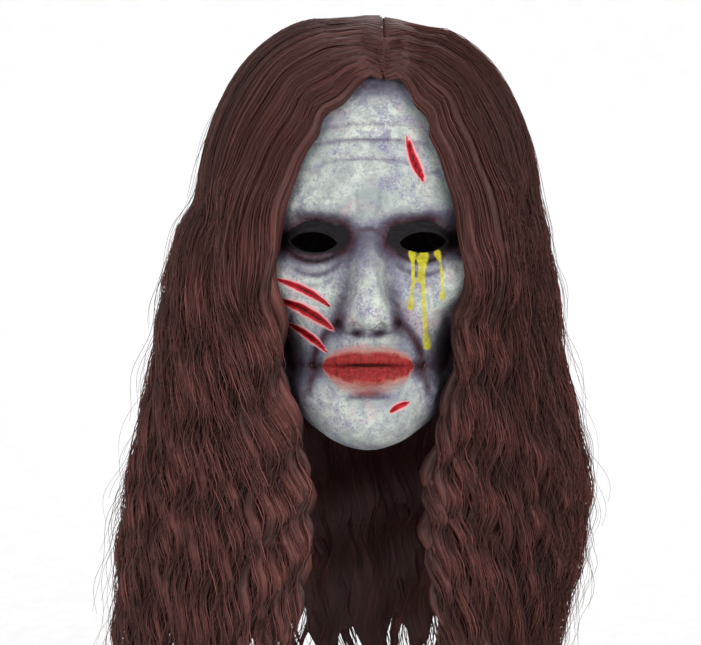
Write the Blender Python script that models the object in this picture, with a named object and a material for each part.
"""A latex horror mask with a long brown wig, as separate solids: the moulded face, the wig cap, the sewn parting
seam and three falls of hair. Metres, +Z up. The face looks along -Y. The origin is where the crown of the
wearer's head touches the inside of the cap, and everything hangs below and around it.
"""

import math
from collections import namedtuple

import bmesh
import bpy
import numpy as np

# Head form: the outer skin of the latex, and what the cap lies on
HEAD_HEIGHT = 0.248  # crown to chin
HEAD_WIDTH = 0.160  # across the temples
HEAD_DEPTH = 0.202  # forehead to the back of the head

# Latex face
LATEX_WALL = 0.0022
LATEX_TOP = 0.020  # below the crown, where the latex ends under the cap
LATEX_BACK = 0.012  # behind the middle of the head, where it ends behind the cheeks
UNDER_CHIN_REACH = 0.034  # how far the latex turns in under the chin
EYE_SPACING = 0.066
EYE_LENGTH = 0.029
EYE_HEIGHT = 0.0125
NOSTRIL_SPACING = 0.0130
NOSTRIL_BORE = 0.0036

# Wig cap
CAP_WALL = 0.0014
CAP_CLEARANCE = 0.0011  # between the latex and the cap
CAP_HAIRLINE = 0.031  # below the crown, at the forehead
CAP_NAPE = 0.170  # below the crown, at the back

# Parting seam
PARTING_SHIFT = 0.008  # the parting lies this far to one side of the middle
PARTING_BACK = 0.052  # how far behind the middle of the head it ends
SEAM_THICKNESS = 0.0022
SEAM_CLEARANCE = 0.0005
PARTING_WIDTH = 0.0048  # between the hair on its two sides

# Hair
HAIR_LENGTH = 0.434  # crown to the lowest tips
SPREAD_LEFT = 0.150  # half widths of the falls at their widest, from the middle
SPREAD_RIGHT = 0.132
HAIR_FRONT = 0.112  # how far forward the front falls hang
HAIR_BACK = 0.124  # how far back the back fall hangs
FACE_GAP = 0.056  # half the width of face that shows between the front falls
HAIR_WALL = 0.019  # thickness of a fall
HAIR_CLEARANCE = 0.0010  # between the hair and the cap
FALL_CLEARANCE = 0.0010  # between one fall and the next
FALL_SPLIT = 97  # degrees round from the face, where the front falls meet the back one
FACE_EDGE_TAPER = 26  # degrees over which a fall thins out towards the face and where it hangs free
FACE_EDGE_SHARE = 0.34  # share of its thickness that is left there
LOCK_DEPTH = 0.0050  # how proud each lock stands of its fall
LOCK_WAVE = 0.0040  # how far the locks swing from side to side
LOCK_WAVELENGTH = 0.072

# The head as rounded forms that melt together. Places and half sizes are shares of the head's width (x), depth
# (y) and height (z), blend is a share of its depth, and the angles turn a form about Y, Z and X, in degrees.
# A form off the middle is there twice, once on each side.
JOIN, HOLLOW = 1, -1
Form = namedtuple("Form", "name kind x y z half_x half_y half_z splay turn lean blend")
FORMS = (
    Form("skull", JOIN, 0, 0.040, -0.400, 0.500, 0.460, 0.400, 0, 0, 0, 0.000),
    Form("forehead", JOIN, 0, -0.130, -0.335, 0.415, 0.312, 0.300, 0, 0, 0, 0.060),
    Form("face block", JOIN, 0, -0.160, -0.610, 0.385, 0.275, 0.340, 0, 0, 0, 0.080),
    Form("jaw corner", JOIN, 0.225, -0.060, -0.760, 0.100, 0.220, 0.105, -14, 0, 0, 0.080),
    Form("jaw line", JOIN, 0.150, -0.220, -0.870, 0.100, 0.170, 0.070, -25, 15, 0, 0.090),
    Form("chin", JOIN, 0, -0.335, -0.922, 0.160, 0.120, 0.078, 0, 0, 0, 0.110),
    Form("dental arch", JOIN, 0, -0.315, -0.800, 0.185, 0.135, 0.115, 0, 0, 0, 0.070),
    Form("cheekbone", JOIN, 0.265, -0.265, -0.598, 0.140, 0.120, 0.055, -10, 38, 0, 0.100),
    Form("brow ridge", JOIN, 0.165, -0.375, -0.425, 0.170, 0.052, 0.032, 4, 20, 0, 0.060),
    Form("temple", HOLLOW, 0.590, -0.300, -0.420, 0.130, 0.240, 0.110, 0, 0, 0, 0.060),
    Form("cheek hollow", HOLLOW, 0.420, -0.370, -0.750, 0.130, 0.150, 0.085, -14, 35, 0, 0.080),
    Form("eye socket", HOLLOW, 0.205, -0.520, -0.500, 0.120, 0.110, 0.048, 3, 18, 0, 0.050),
    Form("inner eye corner", HOLLOW, 0.090, -0.500, -0.488, 0.040, 0.060, 0.034, 0, 0, 0, 0.040),
    Form("eyelids", JOIN, 0.206, -0.325, -0.502, 0.100, 0.085, 0.058, 0, 10, 0, 0.018),
    Form("upper lid crease", HOLLOW, 0.206, -0.440, -0.452, 0.100, 0.040, 0.010, 2, 14, 0, 0.020),
    Form("nose ridge", JOIN, 0, -0.450, -0.575, 0.058, 0.066, 0.130, 0, 0, 24, 0.050),
    Form("nose tip", JOIN, 0, -0.505, -0.668, 0.064, 0.056, 0.043, 0, 0, 0, 0.040),
    Form("nose wing", JOIN, 0.070, -0.456, -0.682, 0.044, 0.058, 0.034, 8, 14, 0, 0.038),
    Form("nostril", HOLLOW, 0.042, -0.500, -0.712, 0.022, 0.034, 0.020, 12, 0, 0, 0.014),
    Form("upper lip", JOIN, 0.078, -0.424, -0.780, 0.098, 0.042, 0.021, 7, 24, 0, 0.022),
    Form("upper lip middle", JOIN, 0, -0.448, -0.783, 0.034, 0.030, 0.018, 0, 0, 0, 0.020),
    Form("lower lip", JOIN, 0.050, -0.427, -0.827, 0.100, 0.044, 0.026, -6, 18, 0, 0.022),
    Form("mouth line", HOLLOW, 0.080, -0.478, -0.803, 0.112, 0.040, 0.0045, 3, 20, 0, 0.010),
    Form("philtrum", HOLLOW, 0, -0.500, -0.740, 0.016, 0.045, 0.028, 0, 0, 0, 0.018),
    Form("under the lower lip", HOLLOW, 0, -0.500, -0.868, 0.110, 0.055, 0.022, 0, 0, 0, 0.040),
    Form("chin pad", JOIN, 0, -0.400, -0.928, 0.085, 0.055, 0.042, 0, 0, 0, 0.045),
)
HEAD_SIZE = np.array((HEAD_WIDTH, HEAD_DEPTH, HEAD_HEIGHT))
FACE_MIDDLE = np.array((0, 0.22, -0.50)) * HEAD_SIZE  # the face's rays start here
CAP_MIDDLE = np.array((0, 0.05, -0.42)) * HEAD_SIZE  # and the cap's and the seam's here
EYE_LINE = -0.502  # share of the head's height

# Grids that the shells are made from
FACE_COLUMNS, FACE_ROWS = 30, 33
FACE_AZIMUTH = math.radians(82)
MOUTH_ELEVATION = math.radians(-24)  # the rows crowd towards this
ROW_SPAN = math.radians(10.7)
CAP_SEGMENTS, CAP_RINGS = 42, 8

# The falls of hair, as rings round the head from the parting down to the tips. run is the share of the way
# along a lock. The drops are shares of HAIR_LENGTH, at the front edge, the side and the back. left and right
# are shares of the two spreads, gap of FACE_GAP, front and back of HAIR_FRONT and HAIR_BACK.
Ring = namedtuple("Ring", "name run front_drop side_drop back_drop left right gap front back rise")
RINGS = (
    Ring("parting", 0.00, 0.080, -0.014, 0.014, 0.00, 0.00, 0.00, 0.70, 0.49, 0.16),
    Ring("crown", 0.06, 0.116, -0.024, 0.008, 0.27, 0.30, 0.28, 0.96, 0.64, 0.80),
    Ring("top turn", 0.12, 0.142, 0.017, 0.065, 0.46, 0.52, 0.50, 1.00, 0.79, 1.00),
    Ring("temple", 0.20, 0.187, 0.104, 0.138, 0.61, 0.68, 0.80, 0.98, 0.90, 1.00),
    Ring("eye level", 0.28, 0.270, 0.196, 0.226, 0.70, 0.77, 0.95, 0.92, 0.97, 1.00),
    Ring("ear", 0.38, 0.380, 0.323, 0.346, 0.80, 0.84, 0.97, 0.83, 1.00, 1.00),
    Ring("jaw", 0.50, 0.495, 0.472, 0.484, 0.87, 0.90, 0.88, 0.78, 0.97, 1.00),
    Ring("chin level", 0.60, 0.588, 0.588, 0.599, 0.94, 0.99, 0.66, 0.76, 0.92, 1.00),
    Ring("shoulder", 0.75, 0.714, 0.726, 0.726, 1.00, 0.96, 0.64, 0.87, 0.90, 0.92),
    Ring("chest", 0.88, 0.853, 0.864, 0.864, 1.01, 0.85, 0.82, 0.96, 0.92, 0.72),
    Ring("tips", 1.00, 1.000, 1.000, 1.000, 0.96, 0.80, 1.00, 1.00, 0.93, 0.34),
)
HAIR_ROWS = 37
ROW_CROWDING = 1.25  # above 1, the rows lie closer together on the head
FRONT_LOCKS, BACK_LOCKS = 6, 8
COLUMNS_PER_LOCK = 2
TIP_STAGGER = 0.07  # share of a lock's length that its neighbours may be shorter by


# Head form


def turned(points, splay, turn, lean):
    """The points as seen from a form that is turned about Y, Z and X by these angles, in degrees."""
    a, b, c = (math.radians(angle) for angle in (splay, turn, lean))
    about_y = np.array(((math.cos(a), 0, -math.sin(a)), (0, 1, 0), (math.sin(a), 0, math.cos(a))))
    about_z = np.array(((math.cos(b), math.sin(b), 0), (-math.sin(b), math.cos(b), 0), (0, 0, 1)))
    about_x = np.array(((1, 0, 0), (0, math.cos(c), -math.sin(c)), (0, math.sin(c), math.cos(c))))
    return points @ (about_x @ about_z @ about_y).T


def form_distance(points, form, side):
    """Distance to one rounded form, below 0 inside it. side is 1 or -1, for its place right or left."""
    middle = np.array((form.x * side, form.y, form.z)) * HEAD_SIZE
    radii = np.array((form.half_x, form.half_y, form.half_z)) * HEAD_SIZE
    local = turned(points - middle, form.splay * side, form.turn * side, form.lean)
    near = np.linalg.norm(local / radii, axis=1)
    steep = np.linalg.norm(local / radii**2, axis=1)
    return near * (near - 1) / np.maximum(steep, 1e-9)


def head_distance(points):
    """Distance from the head form, above 0 outside it."""
    total = form_distance(points, FORMS[0], 1)
    for form in FORMS[1:]:
        reach = form.blend * HEAD_DEPTH
        for side in (1, -1) if form.x else (1,):
            added = form_distance(points, form, side)
            share = np.clip(0.5 + form.kind * 0.5 * (total - form.kind * added) / reach, 0, 1)
            melted = form.kind * reach * share * (1 - share)
            total = total * (1 - share) + form.kind * added * share - melted
    return total


def head_points(middle, azimuth, elevation, offset):
    """Where rays from middle leave the head form grown by offset. Azimuth 0 looks out of the face, along -Y."""
    flat = np.cos(elevation)
    ways = np.stack((np.sin(azimuth) * flat, -np.cos(azimuth) * flat, np.sin(elevation)), axis=1)
    reach = np.full(len(ways), HEAD_SIZE.max())
    for _ in range(60):
        reach -= 0.6 * (head_distance(middle + ways * reach[:, None]) - offset)
    return middle + ways * reach[:, None]


def outward(points):
    """Unit vectors that point away from the head form."""
    step = 0.0005
    slopes = [head_distance(points + step * axis) - head_distance(points - step * axis) for axis in np.eye(3)]
    slope = np.stack(slopes, axis=1)
    return slope / np.maximum(np.linalg.norm(slope, axis=1, keepdims=True), 1e-9)


# Meshes and objects


def new_object(name, mesh, material, collection):
    thing = bpy.data.objects.new(name, mesh)
    collection.objects.link(thing)
    if material is not None:
        mesh.materials.append(material)
    return thing


def new_material(name, colour, roughness):
    material = bpy.data.materials.new(name)
    material.use_nodes = True
    shader = material.node_tree.nodes["Principled BSDF"]
    shader.inputs["Base Color"].default_value = (*colour, 1)
    shader.inputs["Roughness"].default_value = roughness
    shader.inputs["Metallic"].default_value = 0
    return material


def add_second_skin(bm, inner_of):
    """Extrudes an open sheet into a closed wall. inner_of gives the places of the new skin's points, in order."""
    order = bm.verts.layers.int.new("order")
    for number, vert in enumerate(bm.verts):
        vert[order] = number
    made = bmesh.ops.extrude_face_region(bm, geom=bm.faces[:], use_keep_orig=True)
    inner = [item for item in made["geom"] if isinstance(item, bmesh.types.BMVert)]
    places = inner_of([vert[order] for vert in inner])
    for vert, place in zip(inner, places):
        vert.co = place
    bmesh.ops.recalc_face_normals(bm, faces=bm.faces[:])


def mesh_of(bm, name):
    mesh = bpy.data.meshes.new(name)
    bm.to_mesh(mesh)
    bm.free()
    return mesh


# Latex face


def face_angles(grid):
    """The grid's places, from -1 to 1, as azimuth and elevation. They crowd towards the nose and the mouth."""
    azimuth = FACE_AZIMUTH * np.sign(grid[:, 0]) * np.abs(grid[:, 0]) ** 1.45
    elevation = MOUTH_ELEVATION + ROW_SPAN * np.sinh(2.4 * (grid[:, 1] + 0.155))
    return azimuth, elevation


def trim(bm, point, normal):
    """Cuts away what lies on the side of the plane that normal points to."""
    geom = bm.verts[:] + bm.edges[:] + bm.faces[:]
    bmesh.ops.bisect_plane(bm, geom=geom, dist=1e-6, plane_co=point, plane_no=normal, clear_outer=True)


def make_latex_face(material, collection, cutters):
    bm = bmesh.new()
    bmesh.ops.create_grid(bm, x_segments=FACE_COLUMNS, y_segments=FACE_ROWS, size=1)
    azimuth, elevation = face_angles(np.array([vert.co for vert in bm.verts]))
    for vert, place in zip(bm.verts, head_points(FACE_MIDDLE, azimuth, elevation, 0)):
        vert.co = place
    chin_edge = (0, -0.41 * HEAD_DEPTH + UNDER_CHIN_REACH, -HEAD_HEIGHT)
    trim(bm, (0, LATEX_BACK, 0), (0, 1, 0))
    trim(bm, (0, 0, -LATEX_TOP), (0, 0, 1))
    trim(bm, chin_edge, (0, 0.55, -0.83))
    bmesh.ops.remove_doubles(bm, verts=bm.verts[:], dist=0.0003)
    outer = np.array([vert.co for vert in bm.verts])
    steps = outer - outward(outer) * LATEX_WALL
    add_second_skin(bm, lambda numbers: steps[numbers])
    face = new_object("latex_face", mesh_of(bm, "latex_face"), material, collection)
    for side in (1, -1):
        for cutter in (make_eye_cutter(side, cutters), make_nostril_cutter(side, cutters)):
            cut = face.modifiers.new(cutter.name, "BOOLEAN")
            cut.operation = "DIFFERENCE"
            cut.object = cutter
    face.data.shade_smooth()
    return face


def make_eye_cutter(side, cutters):
    """An almond prism through the middle of an eyelid."""
    bm = bmesh.new()
    bmesh.ops.create_circle(bm, segments=28, radius=1, cap_ends=True)
    for vert in bm.verts:
        across, up = vert.co.x, vert.co.y
        pointed = up * abs(up) ** 0.4
        vert.co = (across * EYE_LENGTH / 2, 0, pointed * EYE_HEIGHT / 2)
    made = bmesh.ops.extrude_face_region(bm, geom=bm.faces[:], use_keep_orig=True)
    depth = 0.25 * HEAD_DEPTH
    far = [item for item in made["geom"] if isinstance(item, bmesh.types.BMVert)]
    bmesh.ops.translate(bm, vec=(0, depth, 0), verts=far)
    bmesh.ops.recalc_face_normals(bm, faces=bm.faces[:])
    cutter = new_object(f"eye_cutter_{side}", mesh_of(bm, "eye_cutter"), None, cutters)
    cutter.location = (side * EYE_SPACING / 2, -0.55 * HEAD_DEPTH, EYE_LINE * HEAD_HEIGHT)
    cutter.rotation_euler = (0, math.radians(-3) * side, 0)
    return cutter


def make_nostril_cutter(side, cutters):
    bm = bmesh.new()
    radius = NOSTRIL_BORE / 2
    reach = 0.075 * HEAD_HEIGHT
    bmesh.ops.create_cone(bm, cap_ends=True, segments=10, radius1=radius, radius2=radius, depth=reach)
    cutter = new_object(f"nostril_cutter_{side}", mesh_of(bm, "nostril_cutter"), None, cutters)
    cutter.location = (side * NOSTRIL_SPACING / 2, -0.496 * HEAD_DEPTH, -0.715 * HEAD_HEIGHT)
    cutter.rotation_euler = (math.radians(12), math.radians(8) * side, 0)
    return cutter


# Wig cap


def cap_edge_elevation(azimuth):
    """How far down the cap reaches at each azimuth, as an angle from its middle."""
    hairline = math.atan2(-CAP_MIDDLE[2] - CAP_HAIRLINE, 0.36 * HEAD_DEPTH)
    nape = math.atan2(-CAP_MIDDLE[2] - CAP_NAPE, 0.42 * HEAD_DEPTH)
    ear = math.radians(-8)
    front = np.cos(azimuth) > 0
    level = np.abs(np.cos(azimuth)) ** 1.5
    return np.where(front, ear + (hairline - ear) * level, ear + (nape - ear) * level)


def make_wig_cap(material, collection):
    bm = bmesh.new()
    bmesh.ops.create_uvsphere(bm, u_segments=CAP_SEGMENTS, v_segments=2 * CAP_RINGS, radius=1)
    lower = [vert for vert in bm.verts if vert.co.z < -0.01]
    bmesh.ops.delete(bm, geom=lower, context="VERTS")
    ball = np.array([vert.co for vert in bm.verts])
    azimuth = np.arctan2(ball[:, 0], -ball[:, 1])
    share = np.arcsin(np.clip(ball[:, 2], 0, 1)) / (math.pi / 2)
    edge = cap_edge_elevation(azimuth)
    elevation = edge + (math.pi / 2 - edge) * share
    outer = head_points(CAP_MIDDLE, azimuth, elevation, CAP_CLEARANCE + CAP_WALL)
    inner = head_points(CAP_MIDDLE, azimuth, elevation, CAP_CLEARANCE)
    for vert, place in zip(bm.verts, outer):
        vert.co = place
    add_second_skin(bm, lambda numbers: inner[numbers])
    cap = new_object("wig_cap", mesh_of(bm, "wig_cap"), material, collection)
    cap.data.shade_smooth()
    return cap


# Parting seam


def parting_height(y):
    """Height of the cap's outer skin over the parting, at these places along Y."""
    low = np.full(len(y), -0.5 * HEAD_HEIGHT)
    high = np.full(len(y), 0.1 * HEAD_HEIGHT)
    for _ in range(30):
        middle = (low + high) / 2
        points = np.stack((np.full(len(y), PARTING_SHIFT), y, middle), axis=1)
        outside = head_distance(points) > CAP_CLEARANCE + CAP_WALL
        high = np.where(outside, middle, high)
        low = np.where(outside, low, middle)
    return high


def parting_front():
    """Y of the parting's front end, where the cap's edge crosses it."""
    edge = cap_edge_elevation(np.zeros(1))
    return head_points(CAP_MIDDLE, np.zeros(1), edge, CAP_CLEARANCE + CAP_WALL)[0, 1]


def make_parting_seam(material, collection):
    y = np.linspace(parting_front() + SEAM_THICKNESS, PARTING_BACK, 15)
    height = parting_height(y) + SEAM_THICKNESS / 2 + SEAM_CLEARANCE
    curve = bpy.data.curves.new("parting_seam", "CURVE")
    curve.dimensions = "3D"
    curve.bevel_depth = SEAM_THICKNESS / 2
    curve.bevel_resolution = 2
    curve.use_fill_caps = True
    spline = curve.splines.new("POLY")
    spline.points.add(len(y) - 1)
    for point, place_y, place_z in zip(spline.points, y, height):
        point.co = (PARTING_SHIFT, place_y, place_z, 1)
    return new_object("parting_seam", curve, material, collection)


# Falls of hair


def smooth_column(run, column):
    """A column of RINGS read smoothly at these runs."""
    x = np.array([ring.run for ring in RINGS])
    y = np.array([getattr(ring, column) for ring in RINGS])
    slope = np.gradient(y, x)
    place = np.clip(np.searchsorted(x, run, side="right") - 1, 0, len(x) - 2)
    width = x[place + 1] - x[place]
    s = (run - x[place]) / width
    rest = 1 - s
    ends = y[place] * (1 + 2 * s) * rest**2 + y[place + 1] * (3 - 2 * s) * s**2
    return ends + width * s * rest * (slope[place] * rest - slope[place + 1] * s)


def eased(value, low, high):
    s = np.clip((value - low) / (high - low), 0, 1)
    return s * s * (3 - 2 * s)


def ring_point(run, angle):
    """Places on the hair's outer skin, before it is seated on the head. angle is in degrees round from the
    face, above 0 on the right, and run is the share of the way from the parting to the tips."""
    angle = (angle + 180) % 360 - 180
    side = np.where(angle < 0, -1, 1)
    turn = np.radians(np.abs(angle))
    spread_left = smooth_column(run, "left") * SPREAD_LEFT
    spread_right = smooth_column(run, "right") * SPREAD_RIGHT
    spread = np.where(side < 0, spread_left, spread_right)
    gap = smooth_column(run, "gap") * FACE_GAP
    edge = np.arcsin(np.clip(gap / np.maximum(spread, 0.001), 0, 0.9))
    split = math.radians(FALL_SPLIT)
    turn = np.where(turn < split, edge + (split - edge) * turn / split, turn)
    ahead = np.maximum(np.cos(turn), 0)
    behind = np.maximum(-np.cos(turn), 0)
    parting = 1 - eased(run, 0, 0.1)
    front = smooth_column(run, "front") * HAIR_FRONT * (1 - parting) - parting_front() * parting
    y = behind * smooth_column(run, "back") * HAIR_BACK - ahead * front
    drop = smooth_column(run, "side_drop")
    drop = drop + (smooth_column(run, "front_drop") - drop) * ahead**2
    drop = drop + (smooth_column(run, "back_drop") - drop) * behind**2
    beside = PARTING_WIDTH / 2 * (1 - eased(run, 0, 0.2))
    x = PARTING_SHIFT * (1 - eased(run, 0, 0.3)) + side * (beside + spread * np.sin(turn))
    return np.stack((x, y, -drop * HAIR_LENGTH), axis=1)


def seated(points, target, hold):
    """The points moved to the target distance from the head form: where hold is 1 up to it and down to it,
    and where hold is 0 only out to it."""
    for _ in range(9):
        short = target - head_distance(points)
        step = np.where(short > 0, short, short * hold)
        points = points + outward(points) * step[:, None]
    return points


def on_head(run):
    """1 where the hair lies on the cap, 0 where it hangs free."""
    return 1 - eased(run, 0.18, 0.34)


def lock_shape(share, locks):
    """Rounded ridges with sharp valleys between them, one for each lock across a fall, from 0 to 1."""
    return np.abs(np.sin(math.pi * locks * share)) ** 0.6


def unit(vectors):
    return vectors / np.maximum(np.linalg.norm(vectors, axis=1, keepdims=True), 1e-9)


def edge_angle(run, split, way):
    """The split between two falls, moved half their clearance along it, way 1 or -1."""
    step = 1.0
    arc = ring_point(run, split + step) - ring_point(run, split - step)
    speed = np.linalg.norm(arc, axis=1) / (2 * step)
    return split + way * FALL_CLEARANCE / 2 / np.maximum(speed, 1e-5)


def fall_skins(first_edge, last_edge, locks, columns):
    """The outer and inner skins of a fall between two splits, as grids of points with a row for each run."""
    share, along = np.meshgrid(np.linspace(0, 1, columns), np.linspace(0, 1, HAIR_ROWS) ** ROW_CROWDING)
    share, along = share.ravel(), along.ravel()
    lock = lock_shape(share, locks)
    number = np.minimum(np.floor(share * locks), locks - 1)
    run = along * (1 - TIP_STAGGER * (1 - lock * np.where(number % 2 == 1, 0.55, 1)))
    first, last = first_edge(run), last_edge(run)
    angle = (first + (last - first) * share + 180) % 360 - 180
    clear = CAP_CLEARANCE + CAP_WALL + HAIR_CLEARANCE
    bulk = smooth_column(run, "rise")
    from_face = np.clip(np.abs(angle) / FACE_EDGE_TAPER, 0, 1)
    from_split = np.clip(np.abs(np.abs(angle) - FALL_SPLIT) / FACE_EDGE_TAPER, 0, 1)
    face_edge = FACE_EDGE_SHARE + (1 - FACE_EDGE_SHARE) * np.sin(math.pi / 2 * from_face)
    split_edge = 1 - (1 - FACE_EDGE_SHARE) * (1 - from_split) * (1 - on_head(run))
    wall = HAIR_WALL * bulk * face_edge * split_edge

    def skin(run_there, angle_there):
        return seated(ring_point(run_there, angle_there), clear + wall, on_head(run_there))

    core = skin(run, angle)
    across = unit(skin(run, angle + 0.5) - skin(run, angle - 0.5))
    down = unit(skin(np.minimum(run + 0.004, 1), angle) - skin(np.maximum(run - 0.004, 0), angle))
    out = unit(np.cross(down, across))
    swing = LOCK_WAVE * eased(run, 0.3, 0.6)
    phase = 2 * math.pi * run * HAIR_LENGTH / LOCK_WAVELENGTH + 3 * np.radians(np.abs(angle))
    wave = across * (swing * np.sin(phase))[:, None] + out * (0.6 * swing * np.cos(phase))[:, None]
    relief = np.minimum(LOCK_DEPTH, 0.5 * wall) * (lock - 1) * eased(run, 0, 0.12)
    outer = seated(core + wave + out * relief[:, None], clear + 0.4 * wall, 0)
    hanging = seated(core + wave - out * wall[:, None], clear, 0)
    lying = seated(core, clear, 1)
    inner = hanging + (lying - hanging) * on_head(run)[:, None]
    return outer.reshape(HAIR_ROWS, columns, 3), inner.reshape(HAIR_ROWS, columns, 3)


def make_fall(name, first_edge, last_edge, locks, material, collection):
    """One fall of hair: a sheet of locks from the parting to the tips, thickened inwards."""
    columns = locks * COLUMNS_PER_LOCK + 1
    outer, inner = fall_skins(first_edge, last_edge, locks, columns)
    bm = bmesh.new()
    bmesh.ops.create_grid(bm, x_segments=columns - 1, y_segments=HAIR_ROWS - 1, size=1)
    grid = np.array([vert.co for vert in bm.verts])
    column = np.rint((grid[:, 0] + 1) / 2 * (columns - 1)).astype(int)
    row = np.rint((grid[:, 1] + 1) / 2 * (HAIR_ROWS - 1)).astype(int)
    for vert, r, c in zip(bm.verts, row, column):
        vert.co = outer[r, c]
    add_second_skin(bm, lambda numbers: inner[row[numbers], column[numbers]])
    fall = new_object(name, mesh_of(bm, name), material, collection)
    fall.data.shade_smooth()
    return fall


def make_hair(material, collection):
    splits = {
        "hair_front_right": (lambda run: 0.01 + 0 * run, lambda run: edge_angle(run, FALL_SPLIT, -1), FRONT_LOCKS),
        "hair_front_left": (lambda run: -0.01 + 0 * run, lambda run: edge_angle(run, -FALL_SPLIT, 1), FRONT_LOCKS),
        "hair_back": (
            lambda run: edge_angle(run, FALL_SPLIT, 1),
            lambda run: edge_angle(run, 360 - FALL_SPLIT, -1),
            BACK_LOCKS,
        ),
    }
    for name, (first_edge, last_edge, locks) in splits.items():
        make_fall(name, first_edge, last_edge, locks, material, collection)


def main():
    for thing in list(bpy.data.objects):
        bpy.data.objects.remove(thing)
    mask = bpy.data.collections.new("horror_mask")
    cutters = bpy.data.collections.new("cutters")
    for collection in (mask, cutters):
        bpy.context.scene.collection.children.link(collection)
    latex = new_material("latex", (0.50, 0.52, 0.49), 0.5)
    cap_net = new_material("cap_net", (0.03, 0.018, 0.015), 0.8)
    seam_thread = new_material("seam_thread", (0.02, 0.012, 0.01), 0.7)
    hair = new_material("hair", (0.045, 0.021, 0.018), 0.45)
    make_latex_face(latex, mask, cutters)
    make_wig_cap(cap_net, mask)
    make_parting_seam(seam_thread, mask)
    make_hair(hair, mask)
    for cutter in cutters.objects:
        cutter.hide_render = True
        cutter.display_type = "WIRE"


main()
